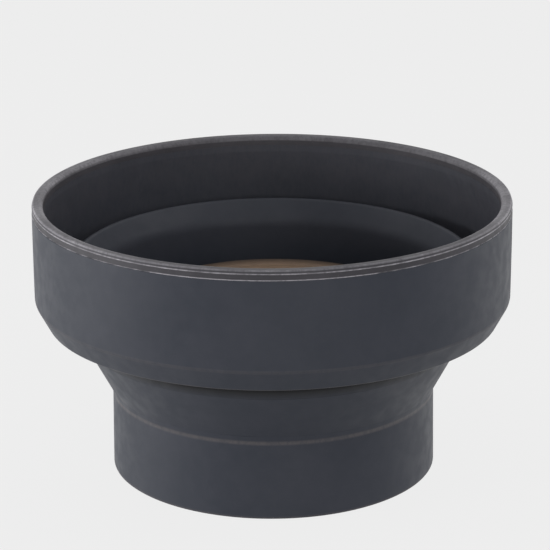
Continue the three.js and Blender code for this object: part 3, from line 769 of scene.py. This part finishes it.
def add_underside():
    """The bottom cover with its shallow ribs, the four feet and the cover screws."""
    cover_r, top = radius("bottom_cover"), high("bottom_cover").z
    plate = COVER_BOTTOM
    spigot = cover_r - 2.8
    corners = [
        (0, plate, 0, 0),
        (30, plate, 0.3, 0),
        (30.5, plate + 0.6, 0.3, 0),
        (34.5, plate + 0.6, 0.3, 0),
        (35, plate, 0.3, 0),
        (66, plate, 0.3, 0),
        (66.4, plate + 0.5, 0.2, 0),
        (67.6, plate + 0.5, 0.2, 0),
        (68, plate, 0.3, 0),
        (cover_r, plate, 0.5, 0.1),
        (cover_r, top - 2.5, 0.3, 0),
        (spigot, top - 2.5, 0, 0),
        (spigot, top, 0.3, 0),
        (spigot - 2, top, 0.3, 0),
        (spigot - 2, top - 2.7, 0, 0),
        (0, top - 2.7, 0, 0),
    ]
    cover = turned("cover_plate", corners)
    wells = []
    for i in range(1, 5):
        screw, foot = middle(f"cover_screw_{i}"), middle(f"foot_{i}")
        wells.append(upright("screw_well", 3.4, plate - 1, plate + 1.4, screw.x, screw.y))
        wells.append(upright("foot_well", 9.3, plate - 1, plate + 1.3, foot.x, foot.y))
    cut(cover, *wells)
    finish_piece(cover, "base", DARK, "dark_plastic", "bottom_cover")
    for i in range(1, 5):
        add_screw(f"cover_screw_{i}", plate + 1.1, plate + 0.1)
        at, size = middle(f"foot_{i}"), radius(f"foot_{i}")
        corners = [
            (0, 0.25, 0, 0),
            (size - 3.2, 0.25, 0.2, 0),
            (size - 2.8, 0, 0.2, 0.2),
            (size - 0.4, 0, 0.6, 0.2),
            (size, 1.2, 0.5, 0),
            (size, plate + 1, 0, 0),
            (0, plate + 1, 0, 0),
        ]
        foot = turned(f"rubber_foot_{i}", corners, facets=SMALL)
        foot.data.transform(Matrix.Translation((at.x * MM, at.y * MM, 0)))
        finish_piece(foot, "base", SEAL, "seal_rubber", f"foot_{i}")


# ---- the controls on the +Y side ----
def add_controls():
    """The bezel, the button with its dished face, the light's lens and the port's flap."""
    bezel_box, button_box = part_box("button_bezel"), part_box("power_button")
    height, face = middle("button_bezel").z, high("button_bezel").y
    outer = radius("button_bezel")
    back = bezel_box[0].y / MM
    rod_corners = [
        (7.3, back, 0.2, 0),
        (9.0, back, 0.2, 0),
        (9.0, back + 4.5, 0.2, 0),
        (outer, back + 4.5, 0.2, 0),
        (outer, face, 0.5, 0.3),
        (8.4, face, 0.5, 0),
        (7.3, face - 0.9, 0.3, 0),
    ]
    bezel = turned("bezel_ring", rod_corners, facets=SMALL * 2)
    lay_along_y(bezel, 0, height)
    finish_piece(bezel, "base", STEEL, "steel", "button_bezel")

    button_face, button_back = button_box[1].y / MM, button_box[0].y / MM
    corners = [
        (0, button_back, 0, 0),
        (2.5, button_back, 0.3, 0),
        (2.5, button_back + 1.0, 0, 0),
        (8.5, button_back + 1.0, 0.1, 0),
        (8.5, button_back + 1.9, 0.1, 0),
        (7.0, button_back + 1.9, 0, 0),
        (7.0, button_face, 0.6, 0.2),
        (5.6, button_face, 0.5, 0),
        (4.2, button_face - 0.6, 1.5, 0),
        (0, button_face - 0.7, 0, 0),
    ]
    button = turned("button_cap", corners, facets=SMALL * 2)
    lay_along_y(button, 0, height)
    finish_piece(button, "power_button", DARK, "dark_plastic", "power_button")

    light = middle("status_light")
    light_r, lens = radius("status_light"), high("status_light").y
    corners = [
        (0, low("status_light").y, 0, 0),
        (light_r, low("status_light").y, 0, 0),
        (light_r, lens - 0.4, 0.3, 0),
        (0, lens, 0, 0),
    ]
    pipe = turned("light_pipe", corners, facets=SMALL)
    lay_along_y(pipe, light.x, light.z)
    finish_piece(pipe, "base", LIGHT, "light_guide", "status_light")
    add_flap()


def add_flap():
    """The port's soft flap: a curved patch with a rolled edge, a finger tab and a plug inside."""
    at = middle("port_cover")
    skin_in, skin_out = BASE_FOOT + 0.1, BASE_FOOT + 1.7
    wide, tall = 17.0, high("port_cover").z - low("port_cover").z
    mesh = bpy.data.meshes.new("port_flap")
    build = bmesh.new()
    layer = build.verts.layers.float.new("wear_and_painted_light")
    across, up = 48, 30
    port_x = middle("charge_socket").x
    sheets = []
    for base in (skin_out, skin_in):
        sheet = []
        for i in range(across + 1):
            column = []
            for k in range(up + 1):
                u, v = 2 * i / across - 1, 2 * k / up - 1
                x, z = flap_outline(u, v, wide, tall)
                edge = max(abs(u), abs(v))
                r = base
                if base == skin_out:
                    r -= 0.7 * max(0.0, (edge - 0.86) / 0.14) ** 2
                    r += 0.35 * math.exp(-(((v - 0.72) / 0.1) ** 2)) * (abs(u) < 0.45)
                y = math.sqrt(r * r - (x + port_x) ** 2)
                vertex = build.verts.new(((x + port_x) * MM, y * MM, (z + at.z) * MM))
                vertex[layer] = 0.35 if edge > 0.95 else 0.0
                column.append(vertex)
            sheet.append(column)
        sheets.append(sheet)
    for sheet in sheets:
        for i in range(across):
            for k in range(up):
                build.faces.new((sheet[i][k], sheet[i + 1][k], sheet[i + 1][k + 1], sheet[i][k + 1]))
    border = [(i, 0) for i in range(across)] + [(across, k) for k in range(up)]
    border += [(i, up) for i in range(across, 0, -1)] + [(0, k) for k in range(up, 0, -1)]
    for n, (i, k) in enumerate(border):
        j, m = border[(n + 1) % len(border)]
        build.faces.new((sheets[0][i][k], sheets[0][j][m], sheets[1][j][m], sheets[1][i][k]))
    bmesh.ops.recalc_face_normals(build, faces=build.faces)
    for face in build.faces:
        face.smooth = True
    build.to_mesh(mesh)
    build.free()
    mesh.set_sharp_from_angle(angle=SHARP)
    flap = bpy.data.objects.new("port_flap", mesh)
    bpy.context.scene.collection.objects.link(flap)
    finish_piece(flap, "port_cover", TUB, "tub_elastomer", "port_cover")
    plug = slot_bar("port_plug", 9.6, 4.2, low("port_cover").y, BASE_FOOT - 3.2, port_x, at.z)
    finish_piece(plug, "port_cover", TUB, "tub_elastomer", "port_cover")


def flap_outline(u, v, wide, tall):
    """Places a point of the square -1..1 in a round-ended rectangle."""
    r = tall / 2
    z = v * r
    end = wide / 2 - r + math.sqrt(max(0.0, r * r - z * z))
    return u * end, z


# ---- the pulsator ----
SHADE_FROM, SHADE_OVER = 86.5, 10.5  # painted shade darkens the disc from this radius, over this distance, in mm, for the shadow near the wall


def add_pulsator():
    """The disc with six rounded vanes and a raised hub, and its cap."""
    top = PULSATOR_TOP
    hub_top = top + 4
    skirt = low("pulsator").z
    corners = [
        (8.5, hub_top, 0.4, 0),
        (11.5, hub_top, 1.5, 0),
        (17, hub_top - 2.2, 3, 0),
        (25, top - 1.8, 5, 0),
        (60, top - 2.1, 20, 0),
        (84, top - 0.2, 6, 0),
        (88, top - 0.9, 1.0, 0),
        (90, top + 0.2, 1.5, 0),
        (PULSATOR_R, top + 1.6, 2.4, 0),
        (PULSATOR_R, skirt, 0.6, 0),
        (PULSATOR_R - 2.7, skirt, 0.4, 0),
        (PULSATOR_R - 2.9, top - 3.4, 1, 0),
        (86, top - 4.7, 1, 0),
        (12, top - 4.7, 0.5, 0),
        (12, top - 7.5, 0.3, 0),
        (5.3, top - 7.5, 0.3, 0),
        (5.3, top - 2.7, 0.2, 0),
        (2.9, top - 2.7, 0.2, 0),
        (2.9, top - 1, 0.2, 0),
        (8.5, top - 1, 0.3, 0),
    ]

    def shape(angle, r, z, wear_and_painted_light):
        if 12 < r < 86 and z > top - 3:
            z += vane_height(angle, r, z)
        # painted shade: darker towards the disc's outer edge
        return r, z, min(1.0, max(0.0, (r - SHADE_FROM) / SHADE_OVER))

    disc = turned("wash_disc", corners, facets=540, shape=shape, reach=1.5, hold=0.3)
    finish_piece(disc, "agitator", PULSATOR, "pulsator_plastic", "pulsator")

    cap_r, cap_low = radius("pulsator_cap"), low("pulsator_cap").z
    corners = [
        (0, cap_low, 0, 0),
        (cap_r, cap_low, 0.2, 0),
        (cap_r, hub_top + 0.4, 0.5, 0),
        (5.5, hub_top + 1.2, 3, 0),
        (0, hub_top + 1.5, 0, 0),
    ]
    cap = turned("hub_cap", corners, facets=SMALL * 2)
    finish_piece(cap, "agitator", PULSATOR, "pulsator_plastic", "pulsator_cap")


def vane_height(angle, r, z):
    """How far a vane rises over the disc's top at a place: six vanes, rounded across and along."""
    spacing = math.pi / 3
    off = angle % spacing - spacing / 2
    across = abs(r * math.sin(off))
    ridge = 5.2 - 4.2 * min(1.0, max(0.0, (r - 30) / 44)) + (PULSATOR_TOP - 2 - z)
    flank = min(1.0, max(0.0, (5.4 - across) / 3.2))
    nose = min(1.0, max(0.0, (76 - r) / 6)) * min(1.0, max(0.0, (r - 13) / 5))
    smooth = flank * flank * (3 - 2 * flank) * nose * nose * (3 - 2 * nose)
    return max(0.0, ridge) * smooth


add_rim()
add_upper_shell()
add_middle_shell()
add_upper_fold()
add_lower_fold()
add_base_skin()
add_clamp_ring()
add_underside()
add_controls()
add_pulsator()

slots = {row["node"]: row["material_slot"] for row in frame["record"]["subparts"]}
for name, node in frame["nodes"].items():
    node.data.materials.clear()
    node.data.materials.append(PAINT[slots[name]])


# ---- floor, light and camera ----
BACKDROP = 0.838  # the pale studio grey, in linear light
GLOW = 0.972  # how strongly the floor shows that grey
FLOOR_HALF = 60  # metres from the middle of the floor to its edge
FLOOR_DROP = 0.2 * MM  # keeps the feet's flat faces clear of the floor
FRONT_LEVEL, BACK_LEVEL = 0.375, 1.12  # the world's light from the camera's side and from behind
BELOW_SHARE = 1.15  # the light from below, as a share of the light from above


def add_stage():
    """A pale floor that shows its own even colour and neither lights the tub nor reflects in it."""
    floor_mesh = bpy.data.meshes.new("floor")
    build = bmesh.new()
    bmesh.ops.create_grid(build, x_segments=1, y_segments=1, size=FLOOR_HALF)
    build.to_mesh(floor_mesh)
    build.free()
    floor = bpy.data.objects.new("floor", floor_mesh)
    floor.location.z = -FLOOR_DROP
    bpy.context.scene.collection.objects.link(floor)
    recipe = Recipe("floor", roughness=1.0, specular=0.0)
    recipe.colour((0.05, 0.05, 0.05))
    recipe.shader.inputs["Emission Color"].default_value = (BACKDROP, BACKDROP, BACKDROP, 1)
    recipe.shader.inputs["Emission Strength"].default_value = GLOW
    floor.data.materials.append(recipe.material)
    floor.visible_diffuse = False
    floor.visible_glossy = False


def add_world():
    """A plain backdrop, and a fill light: strong from behind, weak from the front, stronger below."""
    world = bpy.data.worlds.new("studio")
    bpy.context.scene.world = world
    world.use_nodes = True
    tree = world.node_tree
    tree.nodes.clear()
    path = tree.nodes.new("ShaderNodeLightPath")
    seen = tree.nodes.new("ShaderNodeBackground")
    seen.inputs["Color"].default_value = (BACKDROP, BACKDROP, BACKDROP, 1)
    axes = tree.nodes.new("ShaderNodeSeparateXYZ")
    tree.links.new(tree.nodes.new("ShaderNodeTexCoord").outputs["Generated"], axes.inputs[0])
    level = None
    for axis, start, end, low_level, high_level in (
        ("Y", -0.45, 0.65, FRONT_LEVEL, BACK_LEVEL),
        ("Z", -0.35, 0.15, BELOW_SHARE, 1.0),
    ):
        ramp = tree.nodes.new("ShaderNodeMapRange")
        ramp.interpolation_type = "SMOOTHSTEP"
        for socket, number in zip(RANGE_SOCKETS, (start, end, low_level, high_level)):
            ramp.inputs[socket].default_value = number
        tree.links.new(axes.outputs[axis], ramp.inputs["Value"])
        if level is None:
            level = ramp.outputs["Result"]
        else:
            product = tree.nodes.new("ShaderNodeMath")
            product.operation = "MULTIPLY"
            tree.links.new(level, product.inputs[0])
            tree.links.new(ramp.outputs["Result"], product.inputs[1])
            level = product.outputs[0]
    fill = tree.nodes.new("ShaderNodeBackground")
    tree.links.new(level, fill.inputs["Strength"])
    choose = tree.nodes.new("ShaderNodeMixShader")
    output = tree.nodes.new("ShaderNodeOutputWorld")
    tree.links.new(path.outputs["Is Camera Ray"], choose.inputs[0])
    tree.links.new(fill.outputs[0], choose.inputs[1])
    tree.links.new(seen.outputs[0], choose.inputs[2])
    tree.links.new(choose.outputs[0], output.inputs[0])


def add_softbox(name, place, size, power):
    """A rectangular softbox that faces the middle of the tub."""
    light = bpy.data.lights.new(name, "AREA")
    light.shape = "RECTANGLE"
    light.size, light.size_y = size
    light.energy = power
    lamp = bpy.data.objects.new(name, light)
    lamp.location = place
    aim = Vector((0, 0, 0.1)) - Vector(place)
    lamp.rotation_euler = aim.to_track_quat("-Z", "Y").to_euler()
    lamp.visible_camera = False
    bpy.context.scene.collection.objects.link(lamp)


def add_camera():
    """A long lens, a little above the rim, looking along +Y."""
    camera = bpy.data.cameras.new("camera")
    camera.lens = 158.81
    camera.sensor_width = 36
    mount = bpy.data.objects.new("camera", camera)
    place = (0, -1.46815, 0.61146)
    pitch, heading, roll = 18.3932, 0.0612, -0.3671
    turn = (
        Matrix.Rotation(math.radians(-heading), 4, "Z")
        @ Matrix.Rotation(math.radians(90 - pitch), 4, "X")
        @ Matrix.Rotation(math.radians(roll), 4, "Z")
    )
    mount.matrix_world = Matrix.Translation(place) @ turn
    bpy.context.scene.collection.objects.link(mount)
    bpy.context.scene.camera = mount


add_stage()
add_world()
add_softbox("left_softbox", (-1.6, -0.28, 0.25), (1.2, 0.7), 19.5)
add_softbox("right_softbox", (1.45, 0.7, 0.1), (0.9, 0.7), 2.0)
add_softbox("high_softbox", (1.1, -0.2, 0.95), (0.8, 0.6), 2.8)
add_softbox("front_softbox", (0.25, -1.7, 0.58), (1.4, 0.8), 10.2)
add_camera()
bpy.context.scene.view_settings.view_transform = "Standard"
